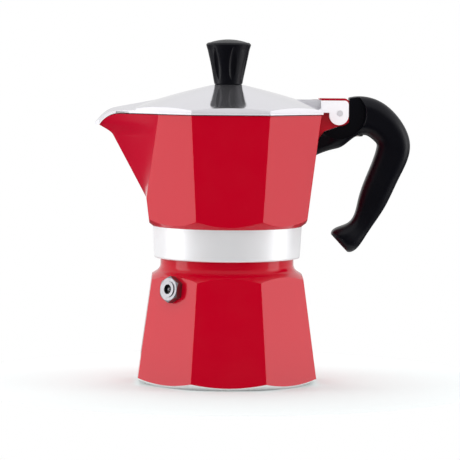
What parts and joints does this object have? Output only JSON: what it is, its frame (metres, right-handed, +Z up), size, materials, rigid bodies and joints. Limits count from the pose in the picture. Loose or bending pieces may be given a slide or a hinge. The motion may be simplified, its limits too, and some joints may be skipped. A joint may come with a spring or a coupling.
{
  "type": "moka pot",
  "caption": "Octagonal stove-top coffee maker: screwed boiler and collector, funnel, gasket, safety valve, hinged lid with knob, and a curved side handle.",
  "frame": {"origin": "on the pot's axis, in the plane that it stands on", "axes": "+Z up, +X towards the handle, -X towards the spout, +Y across"},
  "size_m": [0.1509, 0.0892, 0.1639],
  "materials": {
    "red_enamel": "gloss enamel on cast aluminium, bare where turned",
    "polished_aluminium": "mirror polished",
    "turned_aluminium": "turned",
    "bright_steel": "bright nickel-plated",
    "black_nylon": "moulded, satin",
    "silicone": "matt"
  },
  "bodies": {
    "boiler": {"boiler": "red_enamel", "safety_valve_body": "bright_steel", "valve_seat_ring": "bright_steel", "valve_spring": "bright_steel"},
    "valve_pin": {"valve_pin": "bright_steel"},
    "funnel": {"funnel": "turned_aluminium", "funnel_filter_disc": "turned_aluminium"},
    "gasket": {"gasket": "silicone"},
    "filter_plate": {"filter_plate": "turned_aluminium"},
    "collector": {"collector": "red_enamel", "chimney": "turned_aluminium", "handle": "black_nylon", "handle_screw": "bright_steel", "hinge_pin": "bright_steel"},
    "lid": {"lid": "polished_aluminium", "lid_knob": "black_nylon", "knob_washer": "bright_steel", "knob_screw": "bright_steel"}
  },
  "joints": [
    {"name": "valve_pin_slide", "type": "slide", "parent": "boiler", "child": "valve_pin", "axis": [-0.7007, -0.7007, 0.1339], "range_m": [0, 0.0015], "stiffness_N_per_m": 1500, "springref_m": -0.0013, "deforming": ["valve_spring"]},
    {"name": "funnel_lift", "type": "slide", "parent": "boiler", "child": "funnel", "axis": [0, 0, 1], "range_m": [0, 0.075]},
    {"name": "collector_lift", "type": "slide", "parent": "funnel", "child": "gasket", "axis": [0, 0, 1], "range_m": [0, 0.06]},
    {"name": "collector_rise", "type": "slide", "parent": "gasket", "child": "filter_plate", "axis": [0, 0, 1], "range_m": [0, 0.0032]},
    {"name": "collector_twist", "type": "hinge", "parent": "filter_plate", "child": "collector", "pos_m": [0, 0, 0], "axis": [0, 0, 1], "range_deg": [0, 450]},
    {"name": "lid_hinge", "type": "hinge", "parent": "collector", "child": "lid", "pos_m": [0.0531, 0, 0.1291], "axis": [0, 1, 0], "range_deg": [0, 106]}
  ],
  "couplings": [
    {"joint": "collector_rise", "follows": "collector_twist", "m_per_rad": 0.00039789}
  ]
}
